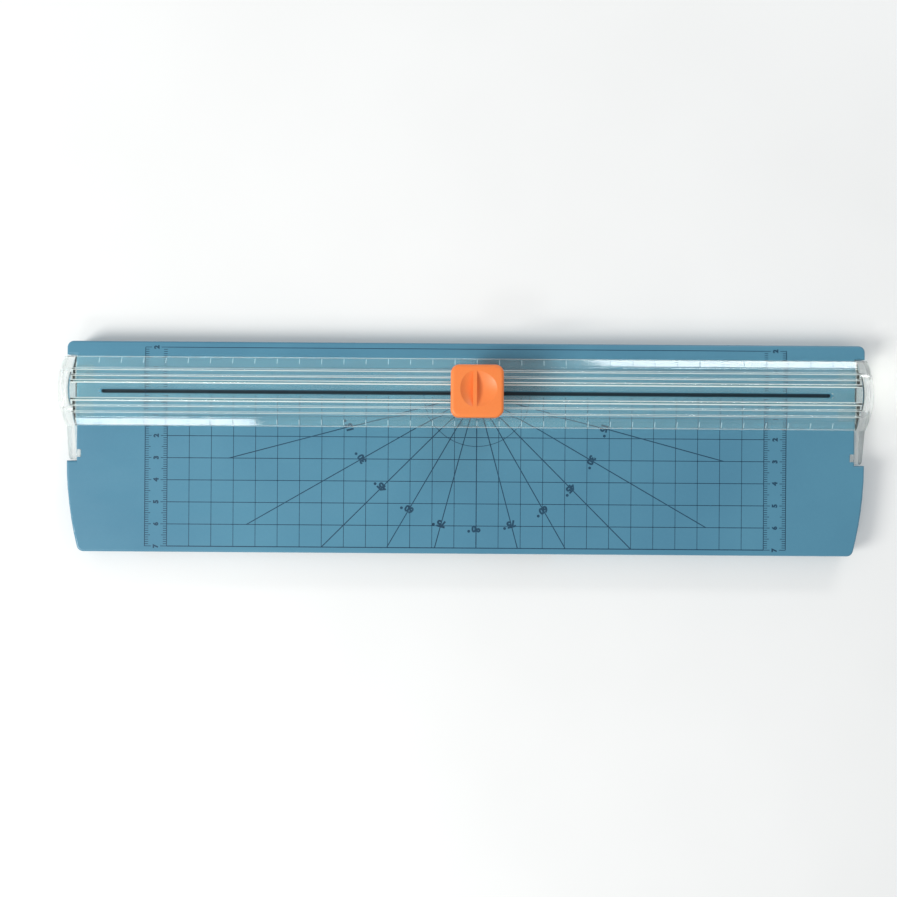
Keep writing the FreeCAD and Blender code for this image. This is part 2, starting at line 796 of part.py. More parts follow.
def make_rail_arms():
    """The right end arm, and the left one as its mirror image."""
    inner = size("rail_length") / 2
    pivot_u = -size("pivot_ahead")
    pivot_z = size("pivot_height") - rail_bottom
    foot = size("end_foot_radius")
    sole = pivot_z - foot
    body = new_body("rail_arm_right", y=size("cut_line"), z=rail_bottom)
    pad(body, end_dome(new_sketch(body, "YZ_Plane", inner), sole), size("end_reach") + 1.0)
    shape_end(body, sole)
    # The part inside the base's notch stands clear of the notch's wall.
    sketch = new_sketch(body, "YZ_Plane", inner)
    draw_rectangle(sketch, as_size(-17.0), sole - 1.0, as_size(17.0), as_size(0))
    pocket(body, sketch, size("end_clearance"), backwards=True)
    # The leg that runs forward to the pivot.
    sketch = new_sketch(body, "YZ_Plane", inner + size("end_clearance"))
    draw_path(sketch, [
        (as_size(-12.5), as_size(1.6)), (as_size(-15.6), as_size(1.0)),
        (pivot_u, pivot_z + foot, "half"), (pivot_u, sole), (as_size(-12.5), sole)])
    pad(body, sketch, size("end_leg") - size("end_clearance"))
    # The moulded pivot, pointing into the base.
    sketch = draw_circle(new_sketch(body, "YZ_Plane", inner + 1.4), pivot_u, pivot_z,
                         size("pivot_radius"))
    pad(body, sketch, size("pivot_length") + 1.4 - size("end_clearance"), backwards=True)
    # Two flat tongues that are welded under the profile.
    sketch = new_sketch(body, "YZ_Plane", inner + 1.0)
    for low, high in ((5.2, 11.4), (-11.4, -5.2)):
        draw_rectangle(sketch, low, 0.15, high, size("weld_tongue_height"))
    pad(body, sketch, size("weld_tongue_length") + 1.0, backwards=True)
    # Two stubs in the profile's undercut, which stop the cutter head before it leaves the rail.
    sketch = new_sketch(body, "YZ_Plane", inner + 1.0)
    low = size("rail_floor") + 0.15
    for near in (3.6, -4.45):
        draw_rectangle(sketch, near, low, near + 0.85, low + size("undercut_height") - 0.3)
    pad(body, sketch, size("end_stop_length") + 1.0, backwards=True)
    keep(body, "rail_arm_right")
    mirror = doc.addObject("Part::Mirroring", "rail_arm_left_mirror")
    mirror.Source = body
    mirror.Normal = V(1, 0, 0)
    mirror.Base = V(0, 0, 0)
    keep(mirror, "rail_arm_left")


# ---------------------------------------------------------------- cutter head


def head_body(name):
    return new_body(name, size("head_rest"), size("cut_line"), rail_bottom)


def rounded_block(body, side, bottom, top, corner):
    sketch = new_sketch(body, "XY_Plane", bottom)
    half = side / 2
    block = pad(body, draw_rectangle(sketch, -half, -half, half, half), top - bottom)
    return round_edges(body, block, corner, is_upright)


def make_carriage():
    """The slide: a block on the rail's ribs, and a keel whose tongues run in the undercut."""
    body = head_body("carriage")
    bottom, top = size("carriage_bottom"), size("carriage_top")
    rounded_block(body, size("carriage_side"), bottom, top, size("carriage_corner"))
    keel = size("keel_length") / 2
    for half_width, low, high in (
            (size("keel_half_width"), size("keel_bottom"), bottom + 0.5),
            (size("tongue_half_width"), size("keel_bottom"), size("tongue_top"))):
        sketch = new_sketch(body, "XY_Plane", low)
        pad(body, draw_rectangle(sketch, -keel, -half_width, keel, half_width), high - low)
    well, thin = size("well_length") / 2, size("well_half_width")
    sketch = draw_rectangle(new_sketch(body, "XY_Plane", top), -well, -thin, well, thin)
    pocket(body, sketch, top)
    wide, reach = size("wing_well_half_width"), size("wing_well_reach")
    sketch = draw_rectangle(new_sketch(body, "XY_Plane", top), -wide, -reach, wide, reach)
    pocket(body, sketch, top - size("wing_well_floor"))
    sketch = new_sketch(body, "XY_Plane", top)
    offset = size("spring_offset")
    draw_circle(sketch, -offset, offset, size("spring_well_radius"))
    draw_circle(sketch, offset, -offset, size("spring_well_radius"))
    pocket(body, sketch, top - size("spring_well_floor"))
    return keep(body, "carriage")


def make_finger_cap():
    """The orange push cap: a square button with a dished top and a grip ridge across it."""
    body = head_body("finger_cap")
    bottom, top, ceiling = size("cap_bottom"), size("cap_top"), size("cap_ceiling")
    block = rounded_block(body, size("cap_side"), bottom, top, size("cap_corner"))
    round_edges(body, block, size("cap_edge"), is_level_at(SIZES["cap_top"]))
    half = size("cap_side") / 2 - size("cap_wall")
    sketch = draw_rectangle(new_sketch(body, "XY_Plane", bottom), -half, -half, half, half)
    pocket(body, sketch, ceiling - bottom, backwards=True)
    offset, screw_y = size("spring_offset"), size("cap_screw_offset")
    sketch = new_sketch(body, "XY_Plane", ceiling - size("spring_post_length"))
    draw_circle(sketch, -offset, offset, size("spring_post_radius"))
    draw_circle(sketch, offset, -offset, size("spring_post_radius"))
    pad(body, sketch, size("spring_post_length") + 0.3)
    boss_end = size("cap_boss_bottom")
    sketch = new_sketch(body, "XY_Plane", boss_end)
    draw_circle(sketch, 0, screw_y, size("cap_boss_radius"))
    draw_circle(sketch, 0, -screw_y, size("cap_boss_radius"))
    pad(body, sketch, ceiling - boss_end + 0.3)
    sketch = new_sketch(body, "XY_Plane", boss_end)
    draw_circle(sketch, 0, screw_y, size("cap_screw_radius") + size("screw_gap"))
    draw_circle(sketch, 0, -screw_y, size("cap_screw_radius") + size("screw_gap"))
    pocket(body, sketch, size("cap_screw_length") - size("wing_thickness") + 0.3, backwards=True)
    for side in (1, -1):
        cut_finger_scoop(body, side)
    return keep(body, "finger_cap")


def cut_finger_scoop(body, side):
    """The shallow scoop in the cap's top on one side of the grip ridge. It is turned about a
    level axis that lies above the cap, and it fades out further on the right than on the left."""
    depth, top = size("scoop_depth"), size("cap_top")
    wide = size("scoop_right_width") if side > 0 else size("scoop_left_width")
    long = size("scoop_half_length")
    rise = (long * long - depth * depth) / (2 * depth)
    radius = (wide * wide + depth * depth) / (2 * depth)
    ridge = size("grip_thickness") / 2
    sketch = new_sketch(body, "XZ_Plane", -size("scoop_offset_y"))
    bind(sketch, ".AttachmentOffset.Base.x", size("scoop_offset_x"))
    bind(sketch, ".AttachmentOffset.Base.y", top + rise)
    centre = radius.value - depth.value - rise.value

    def on_arc(x):
        return centre - math.sqrt(radius.value ** 2 - x ** 2)

    near, far = ridge.value, wide.value + 0.6
    if side > 0:
        path = [(near, -2.0), (near, on_arc(near), radius), (far, on_arc(far)), (far, -2.0)]
    else:
        path = [(-far, -2.0), (-far, on_arc(far), radius), (-near, on_arc(near)), (-near, -2.0)]
    draw_path(sketch, path)
    before = body.Shape.Volume
    groove = body.newObject("PartDesign::Groove", "Scoop")
    groove.Profile = sketch
    groove.ReferenceAxis = (sketch, ["H_Axis"])
    groove.Angle = 360
    doc.recompute()
    if not body.Shape.Volume < before - 1e-6:
        raise RuntimeError("the finger scoop cuts nothing")
    return groove


def make_blade_holder():
    """A forked carrier: two cheeks beside the blade, and two wings that screw to the cap."""
    body = head_body("blade_holder")
    length, width = size("holder_half_length"), size("holder_half_width")
    bottom, top = size("holder_bottom"), size("holder_top")
    sketch = draw_rectangle(new_sketch(body, "XY_Plane", bottom), -length, -width, length, width)
    pad(body, sketch, top - bottom)
    wing, reach = size("wing_half_width"), size("wing_reach")
    wing_top = size("cap_boss_bottom")
    sketch = new_sketch(body, "XY_Plane", wing_top)
    draw_rectangle(sketch, -wing, -reach, wing, reach)
    pad(body, sketch, size("wing_thickness"), backwards=True)
    slit = size("holder_slit_half")
    sketch = new_sketch(body, "XY_Plane", bottom)
    draw_rectangle(sketch, -length - 1.0, -slit, length + 1.0, slit)
    pocket(body, sketch, size("holder_slit_top") - bottom, backwards=True)
    sketch = new_sketch(body, "XY_Plane", wing_top)
    draw_circle(sketch, 0, size("cap_screw_offset"), size("cap_screw_radius") + 0.15)
    draw_circle(sketch, 0, -size("cap_screw_offset"), size("cap_screw_radius") + 0.15)
    pocket(body, sketch, size("wing_thickness") + 0.5)
    sketch = draw_circle(new_sketch(body, "XZ_Plane"), 0, size("blade_height"),
                         size("axle_radius") + 0.02)
    pocket(body, sketch, 2 * width + 2.0, symmetric=True)
    return keep(body, "blade_holder")


def turned_about_axle(name, path):
    """A piece revolved about the blade's axle. The path holds (radius, y) points."""
    body = new_body(name, size("head_rest"), size("cut_line"), rail_bottom + size("blade_height"))
    sketch = draw_path(new_sketch(body, "XY_Plane"), path)
    feature = body.newObject("PartDesign::Revolution", "Turned")
    feature.Profile = sketch
    feature.ReferenceAxis = (sketch, ["V_Axis"])
    feature.Angle = 360
    doc.recompute()
    return keep(body, name)


def make_blade():
    rim, half = size("blade_radius"), size("blade_thickness") / 2
    bevel, tip = rim - size("blade_bevel"), size("blade_edge") / 2
    bore = size("blade_bore")
    turned_about_axle("rotary_blade", [
        (bore, -half), (bevel, -half), (rim, -tip), (rim, tip), (bevel, half), (bore, half)])
    hub, flank = size("hub_radius"), size("hub_width") / 2
    hole = size("axle_radius") + size("axle_gap")
    turned_about_axle("blade_hub", [
        (hole, -flank), (hub, -flank), (hub, -half), (bore, -half),
        (bore, half), (hub, half), (hub, flank), (hole, flank)])
    pin, end = size("axle_radius"), size("axle_length") / 2
    turned_about_axle("blade_axle", [
        (as_size(0), -end), (pin - 0.15, -end), (pin, 0.15 - end), (pin, end - 0.15),
        (pin - 0.15, end), (as_size(0), end)])


def make_spring(label, side):
    """A compression spring between the carriage's well and the cap's ceiling."""
    wire = size("spring_wire")
    low = size("spring_well_floor") + wire + 0.02
    high = size("cap_ceiling") - wire - 0.02
    offset = size("spring_offset") * side
    helix = doc.addObject("Part::Helix", label + "_path")
    bind(helix, "Radius", size("spring_radius"))
    bind(helix, "Height", high - low)
    bind(helix, "Pitch", (high - low) / size("spring_turns"))
    section = doc.addObject("Part::Circle", label + "_wire")
    bind(section, "Radius", wire)
    section.Placement = FreeCAD.Placement(V(0, 0, 0), FreeCAD.Rotation(V(1, 0, 0), 90))
    bind(section, ".Placement.Base.x", size("spring_radius"))
    doc.recompute()
    coil = doc.addObject("Part::Sweep", label + "_coil")
    coil.Sections = [section]
    coil.Spine = (helix, ["Edge1"])
    coil.Solid = True
    coil.Frenet = True
    place(coil, size("head_rest") + offset, size("cut_line") - offset, rail_bottom + low)
    doc.recompute()
    return keep(coil, label)


def make_cap_screws():
    """The two screws that hold the blade holder to the cap, as one group."""
    screws = []
    for side in (1, -1):
        screw = make_screw(f"cap_screw_{side + 1}", size("cap_screw_radius"),
                           size("cap_screw_length"), size("cap_screw_head_radius"),
                           size("cap_screw_head_height"))
        place(screw, size("head_rest"), size("cut_line") + side * size("cap_screw_offset"),
              rail_bottom + size("cap_boss_bottom") - size("wing_thickness")
              - size("cap_screw_head_height"))
        screws.append(screw)
    group = doc.addObject("Part::Compound", "cap_screws_group")
    group.Links = screws
    return keep(group, "cap_screws")


# ---------------------------------------------------------------- build and write


def check_model():
    doc.recompute()
    for thing in doc.Objects:
        bad = [state for state in thing.State if state in ("Invalid", "Error")]
        if bad:
            raise RuntimeError(f"{thing.Label}: {bad} {thing.getStatusString()}")
    for part in PARTS:
        shape = part.Shape
        if shape.isNull() or not shape.isValid() or not shape.Solids:
            raise RuntimeError(f"{part.Label} has no valid solid")


def write_parts():
    os.makedirs("parts", exist_ok=True)
    for part in PARTS:
        part.Shape.exportStep(f"parts/{part.Label}.step")
        print(f"{part.Label}: {len(part.Shape.Solids)} solid(s), {part.Shape.Volume:.1f} mm3")


fill_sheet()
make_base_plate()
make_cutting_strip()
for foot_label, foot_x, foot_y in foot_places():
    make_foot(foot_label, foot_x, foot_y)
make_ruler_arm()
make_ruler_fasteners()
make_rail_profile()
make_rail_arms()
make_carriage()
make_finger_cap()
make_blade_holder()
make_blade()
make_spring("return_spring_left", -1)
make_spring("return_spring_right", 1)
make_cap_screws()
check_model()
write_parts()
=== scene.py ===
import json
import math

import bmesh
import bpy
from mathutils import Matrix, Vector


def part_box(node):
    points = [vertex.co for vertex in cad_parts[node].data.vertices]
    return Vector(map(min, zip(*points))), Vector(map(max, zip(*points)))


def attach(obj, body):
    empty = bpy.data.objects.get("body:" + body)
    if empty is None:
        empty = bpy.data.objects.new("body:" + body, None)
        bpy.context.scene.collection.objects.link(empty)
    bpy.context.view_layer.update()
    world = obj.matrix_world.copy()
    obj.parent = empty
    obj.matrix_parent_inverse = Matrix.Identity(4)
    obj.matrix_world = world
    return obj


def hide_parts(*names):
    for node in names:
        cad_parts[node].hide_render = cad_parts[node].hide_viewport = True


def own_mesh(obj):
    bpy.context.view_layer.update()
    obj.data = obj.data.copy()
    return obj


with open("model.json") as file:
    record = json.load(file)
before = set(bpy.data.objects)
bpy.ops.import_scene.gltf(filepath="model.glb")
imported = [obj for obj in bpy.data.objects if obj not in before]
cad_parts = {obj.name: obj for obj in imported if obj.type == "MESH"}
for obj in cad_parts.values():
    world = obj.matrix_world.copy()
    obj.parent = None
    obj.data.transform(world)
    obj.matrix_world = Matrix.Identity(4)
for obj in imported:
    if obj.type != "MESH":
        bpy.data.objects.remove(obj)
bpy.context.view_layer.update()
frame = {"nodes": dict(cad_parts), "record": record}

MM = 0.001
CENTIMETRE = 10 * MM

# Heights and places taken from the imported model.
BASE_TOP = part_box("base_plate")[1].z
RAIL_LOW, RAIL_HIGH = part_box("rail_profile")
ARM_LOW, ARM_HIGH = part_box("ruler_arm")
BLADE_LOW, BLADE_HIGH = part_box("rotary_blade")
CUT_LINE = (RAIL_LOW.y + RAIL_HIGH.y) / 2

# Ink is a thin layer just above the plastic. The rulers, the protractor and its numbers cross
# other lines, so each of them stands a step higher than the last.
INK_LIFT = 0.005 * MM
INK_THICKNESS = 0.025 * MM
INK_STEP = 0.002 * MM
INK_LINE = 0.32 * MM
INK_FINE = 0.24 * MM
INK_BOLD = 0.42 * MM
INK_TICK = 0.28 * MM
NUMERAL_BOLDNESS = 0.058

# The grid on the base, and the ruler at each end of it. Distances from the cut line grow towards
# the user. Columns and ticks keep clear of it by the clearance.
GRID_HALF_WIDTH = 135 * MM
GRID_FRONT = 70 * MM
GRID_BACK = 20 * MM
GRID_CLEARANCE = 1.6 * MM
RULER_WIDTH = 10 * MM
RULER_DIGIT = 2.5 * MM
RULER_CLEARANCE = 1.4 * MM

# Lengths of the ticks at whole centimetres, at half centimetres and at the other millimetres.
RULER_TICKS = (2.9 * MM, 2.5 * MM, 1.7 * MM)
ARM_TICKS = (4.0 * MM, 3.0 * MM, 1.9 * MM)

# The scale on the ruler arm, which goes on from the base's.
ARM_FIRST_CENTIMETRE = 8
ARM_LAST_CENTIMETRE = 23
ARM_TICK_INSET = 0.7 * MM

# The protractor on the base. Its flattest lines end at a distance of their own from the cut line.
PROTRACTOR_CENTRE = Vector((5 * MM, CUT_LINE))
PROTRACTOR_ANGLES = range(15, 180, 15)
ANGLE_LINE_START = 6 * MM
ANGLE_LINE_ENDS = {15: 30 * MM, 30: 60 * MM}
ARC_RADIUS = 24 * MM
ANGLE_DIGIT = 3.3 * MM
LABEL_RADIUS = 61.3 * MM
LABEL_RADIUS_LOSS = 1.8 * MM
DEGREE_DOT = 0.65 * MM
DEGREE_DOT_ASIDE = 3.3 * MM
DEGREE_DOT_OUT = 1.1 * MM
DEGREE_DOT_CORNERS = 12

# The ribs of the rail reach this far from the cut line to each side, and the whole rail this far,
# with a rim along its edge. The painted highlights on the ribs and the rim fade out over a short
# way.
RIBS_REACH = 10.1 * MM
RIBS_FADE = 0.1 * MM
RAIL_REACH = (RAIL_HIGH.y - RAIL_LOW.y) / 2
RIM_WIDTH = 0.6 * MM
RIM_FADE = 0.2 * MM

# The share of light that the clear plastic lets through, on the whole, at the rims along the
# rail, and on the upright sides of its ribs. Where less goes through, the plastic turns pale and
# diffuse: a painted highlight along the rims and the rib sides. A side counts as upright from the
# first to the second of these values of its normal along Y.
CLEAR_SHARE = 0.99
RIM_HIGHLIGHT_SHARE = 0.78
RIB_SIDE_HIGHLIGHT_SHARE = 0.12
UPRIGHT = (0.46, 0.60)

# The small marks moulded on both flanges of the rail. Each end is given as the distance from the
# cut line and the height above the rail's lowest point, and a mark rises square to the flange.
FLANGE_MARK_INNER = (12.55 * MM, 3.13 * MM)
FLANGE_MARK_OUTER = (14.85 * MM, 2.06 * MM)
FLANGE_MARK_WIDTH = 0.32 * MM
FLANGE_MARK_RISE = 0.09 * MM
FLANGE_MARK_SINK = 0.05 * MM
FLANGE_SLOPE = 0.4
FLANGE_MARK_MARGIN = 5 * MM

SPRING_TURNS = 6
SPRING_RADIUS = 1.75 * MM
SPRING_WIRE = 0.22 * MM
SPRING_SIDES = 10
SPRING_STEPS_PER_TURN = 28
SPRING_END_EASE = 0.04

# The camera looks straight down at the base, close enough to show the far walls of the head.
CAMERA_HEIGHT = 0.450
CAMERA_X = -7.7 * MM
CAMERA_ROLL = 0.4
CAMERA_SENSOR = 36
SEEN_WIDTH = 0.4059

FLOOR_SIZE = 9.0
WORLD_STRENGTH = 0.62

# Name, place, target, width, depth, power and tint of each lamp.
LAMPS = (
    ("key", (-1.00, -0.42, 0.85), (0, 0, 0), 0.55, 0.55, 13.8, (1.0, 0.99, 0.97)),
    ("front_left", (-0.435, -0.78, 0.72), (-0.1, 0, 0), 0.29, 0.14, 1.1, (1, 1, 1)),
    ("back_right", (0.38, 0.82, 0.555), (0.1, 0, 0), 0.50, 0.12, 1.7, (1, 1, 1)),
)

# ---------------------------------------------------------------- materials

# Places of the colour sockets on Blender's mix node, where several have the same name.
MIX_FIRST, MIX_SECOND, MIX_RESULT = 6, 7, 2


def linear(red, green, blue):
    """A colour given as 0 to 255 screen values, as the linear values a shader takes."""
    channels = []
    for value in (red, green, blue):
        value /= 255
        channels.append(value / 12.92 if value <= 0.04045 else ((value + 0.055) / 1.055) ** 2.4)
    return (*channels, 1.0)


BLUE = linear(78, 135, 158)
DEEP_BLUE = linear(68, 123, 148)


class Finish:
    """A material with a Principled shader, and short calls for the nodes that drive it."""

    def __init__(self, name, **sockets):
        self.material = bpy.data.materials.new(name)
        self.material.use_nodes = True
        self.tree = self.material.node_tree
        self.shader = next(n for n in self.tree.nodes if n.type == "BSDF_PRINCIPLED")
        self.output = next(n for n in self.tree.nodes if n.type == "OUTPUT_MATERIAL")
        for socket, value in sockets.items():
            self.shader.inputs[socket.replace("_", " ")].default_value = value
        self.place = self.node("ShaderNodeTexCoord").outputs["Object"]

    def node(self, kind, **settings):
        """A new node of a kind, with its settings."""
        made = self.tree.nodes.new(kind)
        for name, value in settings.items():
            setattr(made, name, value)
        return made

    def link(self, source, target):
        self.tree.links.new(source, target)

    def stretched(self, x=1.0, y=1.0, z=1.0, origin=(0, 0, 0)):
        """The object's own coordinates, moved so that origin is at zero and then scaled."""
        mapping = self.node("ShaderNodeMapping")
        mapping.inputs["Scale"].default_value = (x, y, z)
        mapping.inputs["Location"].default_value = (
            -origin[0] * x, -origin[1] * y, -origin[2] * z)
        self.link(self.place, mapping.inputs["Vector"])
        return mapping.outputs["Vector"]

    def noise(self, scale, detail=3.0, roughness=0.55, vector=None):
        """Random variation around 0.5, with about so many patches to a metre."""
        texture = self.node("ShaderNodeTexNoise")
        texture.inputs["Scale"].default_value = scale
        texture.inputs["Detail"].default_value = detail
        texture.inputs["Roughness"].default_value = roughness
        self.link(vector or self.place, texture.inputs["Vector"])
        return texture.outputs["Fac"]

    def between(self, source, low, high, start=0.3, end=0.7):
        """A number that runs from low to high while source runs from start to end."""
        ranged = self.node("ShaderNodeMapRange")
        for socket, value in (("From Min", start), ("From Max", end),
                              ("To Min", low), ("To Max", high)):
            ranged.inputs[socket].default_value = value
        self.link(source, ranged.inputs["Value"])
        return ranged.outputs["Result"]

    def mixed(self, factor, first, second):
        """A colour that runs from first to second while factor runs from 0 to 1."""
        mix = self.node("ShaderNodeMix", data_type="RGBA")
        self.link(factor, mix.inputs["Factor"])
        mix.inputs[MIX_FIRST].default_value = first
        mix.inputs[MIX_SECOND].default_value = second
        return mix.outputs[MIX_RESULT]

    def chosen(self, operation, first, second):
        """The larger or the smaller of two values, for MAXIMUM or MINIMUM."""
        choice = self.node("ShaderNodeMath", operation=operation)
        self.link(first, choice.inputs[0])
        self.link(second, choice.inputs[1])
        return choice.outputs[0]

    def size_along_y(self, vector):
        """The Y part of a vector, without its sign."""
        split = self.node("ShaderNodeSeparateXYZ")
        self.link(vector, split.inputs[0])
        positive = self.node("ShaderNodeMath", operation="ABSOLUTE")
        self.link(split.outputs["Y"], positive.inputs[0])
        return positive.outputs[0]

    def added(self, first, second, share):
        """first plus share times second."""
        scale = self.node("ShaderNodeMath", operation="MULTIPLY_ADD")
        scale.inputs[1].default_value = share
        self.link(second, scale.inputs[0])
        self.link(first, scale.inputs[2])
        return scale.outputs[0]

    def colour(self, socket):
        self.link(socket, self.shader.inputs["Base Color"])

    def roughness(self, socket):
        self.link(socket, self.shader.inputs["Roughness"])

    def bump(self, socket, strength, distance):
        relief = self.node("ShaderNodeBump")
        relief.inputs["Strength"].default_value = strength
        relief.inputs["Distance"].default_value = distance
        self.link(socket, relief.inputs["Height"])
        self.link(relief.outputs["Normal"], self.shader.inputs["Normal"])

    def let_shadow_rays_through(self, tint):
        """Light from the lamps crosses the material in a straight line and takes on a tint."""
        through = self.node("ShaderNodeBsdfTransparent")
        through.inputs["Color"].default_value = tint
        ray = self.node("ShaderNodeLightPath")
        mix = self.node("ShaderNodeMixShader")
        self.link(ray.outputs["Is Shadow Ray"], mix.inputs[0])
        self.link(self.shader.outputs[0], mix.inputs[1])
        self.link(through.outputs[0], mix.inputs[2])
        self.link(mix.outputs[0], self.output.inputs["Surface"])


def moulded_plastic(name, light, dark, roughness, grain=1400.0, depth=0.02 * MM):
    """Injection-moulded plastic: slow colour drift, fine spark-eroded grain and faint scuffs."""
    finish = Finish(name, IOR=1.5)
    drift = finish.noise(14.0, detail=4.0)
    speck = finish.noise(grain * 0.5, detail=2.0)
    tone = finish.added(drift, speck, 0.15)
    finish.colour(finish.mixed(finish.between(tone, 0.0, 1.0, 0.35, 0.85), light, dark))
    scuffs = finish.noise(60.0, detail=8.0, roughness=0.7, vector=finish.stretched(x=0.35))
    finish.roughness(finish.between(scuffs, roughness - 0.05, roughness + 0.08))
    finish.bump(finish.added(finish.noise(grain, detail=2.0), scuffs, 0.3), 0.25, depth)
    return finish


def make_strip_plastic():
    """Black strip with fine scratches along the cut."""
    finish = Finish("strip_plastic", IOR=1.5)
    scratches = finish.noise(900.0, detail=4.0, vector=finish.stretched(x=0.01))
    finish.colour(finish.mixed(finish.between(scratches, 0.0, 1.0),
                               linear(10, 40, 52), linear(22, 56, 70)))
    finish.roughness(finish.between(scratches, 0.45, 0.65))
    finish.bump(scratches, 0.4, 0.03 * MM)
    return finish.material


def make_rubber():
    """Black rubber with a rough grain and some dust."""
    finish = Finish("foot_rubber", IOR=1.52)
    grain = finish.noise(1800.0, detail=5.0, roughness=0.7)
    dust = finish.noise(220.0, detail=5.0)
    finish.colour(finish.mixed(finish.between(dust, 0.0, 1.0, 0.45, 0.75),
                               linear(34, 35, 37), linear(62, 62, 62)))
    finish.roughness(finish.between(dust, 0.72, 0.92))
    finish.bump(grain, 0.5, 0.04 * MM)
    return finish.material


def make_clear_plastic(name, dull, bright):
    """Polished clear plastic with drawn-out flow lines, which lamps shine through."""
    finish = Finish(name, IOR=1.3, Coat_Weight=1.0, Coat_IOR=1.5, Coat_Roughness=0.07,
                    Transmission_Weight=CLEAR_SHARE)
    smear = finish.noise(40.0, detail=6.0, roughness=0.65, vector=finish.stretched(x=0.3))
    finish.colour(finish.mixed(finish.between(smear, 0.0, 1.0), dull, bright))
    finish.roughness(finish.between(smear, 0.03, 0.10, 0.4, 0.8))
    flow = finish.noise(150.0, detail=2.0, vector=finish.stretched(x=0.04))
    finish.bump(finish.added(flow, smear, 0.4), 0.10, 0.05 * MM)
    finish.let_shadow_rays_through((0.955, 0.955, 0.945, 1.0))
    return finish


def make_rail_plastic():
    """The rail's clear plastic is made milky on the steep sides of its ribs and at the rims along
    it, as painted highlights that show as pale lines."""
    finish = make_clear_plastic("clear_plastic", (0.86, 0.93, 0.90, 1.0), (0.92, 0.96, 0.93, 1.0))
    normal = finish.node("ShaderNodeTexCoord").outputs["Normal"]
    # Steep rib sides let little light through and turn pale: a painted highlight.
    upright = finish.between(finish.size_along_y(normal), CLEAR_SHARE, RIB_SIDE_HIGHLIGHT_SHARE, *UPRIGHT)
    from_cut = finish.size_along_y(finish.stretched(origin=(0, CUT_LINE, 0)))
    past_ribs = finish.between(from_cut, 0.0, CLEAR_SHARE, RIBS_REACH - RIBS_FADE, RIBS_REACH)
    # The band along the rail's edge turns pale as well: a painted highlight along the rim.
    rim_start = RAIL_REACH - RIM_WIDTH
    rim = finish.between(from_cut, CLEAR_SHARE, RIM_HIGHLIGHT_SHARE, rim_start, rim_start + RIM_FADE)
    inside = finish.chosen("MAXIMUM", upright, past_ribs)
    finish.link(finish.chosen("MINIMUM", inside, rim),
                finish.shader.inputs["Transmission Weight"])
    return finish.material


def make_frosted_mark():
    """The etched look of the small marks on the rail."""
    finish = Finish("frosted_mark", IOR=1.49)
    grain = finish.noise(2600.0, detail=3.0)
    finish.colour(finish.mixed(finish.between(grain, 0.0, 1.0),
                               linear(150, 182, 194), linear(178, 204, 213)))
    finish.roughness(finish.between(grain, 0.35, 0.6))
    finish.bump(grain, 0.4, 0.02 * MM)
    return finish.material


def make_cap_plastic():
    """Orange plastic that light enters a little."""
    finish = moulded_plastic("cap_plastic", linear(242, 138, 66), linear(232, 118, 51), 0.42,
                             grain=1900.0, depth=0.012 * MM)
    finish.shader.inputs["Subsurface Weight"].default_value = 0.12
    finish.shader.inputs["Subsurface Radius"].default_value = (1.6, 0.7, 0.25)
    finish.shader.inputs["Subsurface Scale"].default_value = 0.6 * MM
    return finish.material


def make_ink():
    """Screen-printed ink, a little uneven in cover."""
    finish = Finish("printed_ink", IOR=1.5)
    cover = finish.noise(1500.0, detail=4.0, roughness=0.7)
    patch = finish.noise(50.0, detail=3.0)
    depth = finish.between(finish.added(cover, patch, 0.5), 0.0, 1.0, 0.6, 1.0)
    finish.colour(finish.mixed(depth, linear(0, 50, 74), linear(10, 72, 98)))
    finish.roughness(finish.between(cover, 0.38, 0.55))
    finish.bump(cover, 0.2, 0.01 * MM)
    return finish.material


def make_steel(name, stretch=(1, 1, 1), rings_about=None):
    """Bright steel with grinding marks, which are drawn out or lie in rings about a point."""
    finish = Finish(name, Metallic=1.0)
    if rings_about is None:
        marks = finish.noise(1600.0, detail=4.0, vector=finish.stretched(*stretch))
    else:
        wave = finish.node("ShaderNodeTexWave", wave_type="RINGS", rings_direction="Y")
        wave.inputs["Scale"].default_value = 900.0
        wave.inputs["Distortion"].default_value = 6.0
        wave.inputs["Detail"].default_value = 4.0
        finish.link(finish.stretched(origin=rings_about), wave.inputs["Vector"])
        marks = wave.outputs["Fac"]
    stain = finish.noise(120.0, detail=4.0)
    finish.colour(finish.mixed(finish.between(stain, 0.0, 1.0),
                               linear(196, 198, 201), linear(168, 170, 174)))
    finish.roughness(finish.between(marks, 0.18, 0.36))
    finish.bump(marks, 0.2, 0.01 * MM)
    return finish.material


MATERIALS = {
    "base_plastic": moulded_plastic("base_plastic", BLUE, DEEP_BLUE, 0.36).material,
    "strip_plastic": make_strip_plastic(),
    "foot_rubber": make_rubber(),
    "arm_plastic": moulded_plastic("arm_plastic", BLUE, DEEP_BLUE, 0.40).material,
    "fastener_steel": make_steel("fastener_steel", (1.0, 1.0, 0.2)),
    "clear_plastic": make_rail_plastic(),
    "cap_plastic": make_cap_plastic(),
    "holder_plastic": moulded_plastic("holder_plastic", linear(46, 47, 50), linear(30, 31, 34),
                                      0.45).material,
    "blade_steel": make_steel("blade_steel", rings_about=(BLADE_LOW + BLADE_HIGH) / 2),
    "spring_steel": make_steel("spring_steel", (0.3, 0.3, 1.0)),
    "ink": make_ink(),
    "frosted_mark": make_frosted_mark(),
}


def dress_cad_nodes():
    """Each CAD node gets its slot's material. The smooth end pieces of the rail have a clear
    plastic of their own."""
    smooth = make_clear_plastic("smooth_clear_plastic",
                                (0.86, 0.90, 0.89, 1.0), (0.92, 0.94, 0.93, 1.0)).material
    own = {"rail_arm_left": smooth, "rail_arm_right": smooth}
    slots = {part["node"]: part["material_slot"] for part in frame["record"]["subparts"]}
    for name, node in frame["nodes"].items():
        for slot in node.material_slots:
            slot.link = "OBJECT"
            slot.material = own.get(name, MATERIALS[slots[name]])


# ---------------------------------------------------------------- mesh helpers


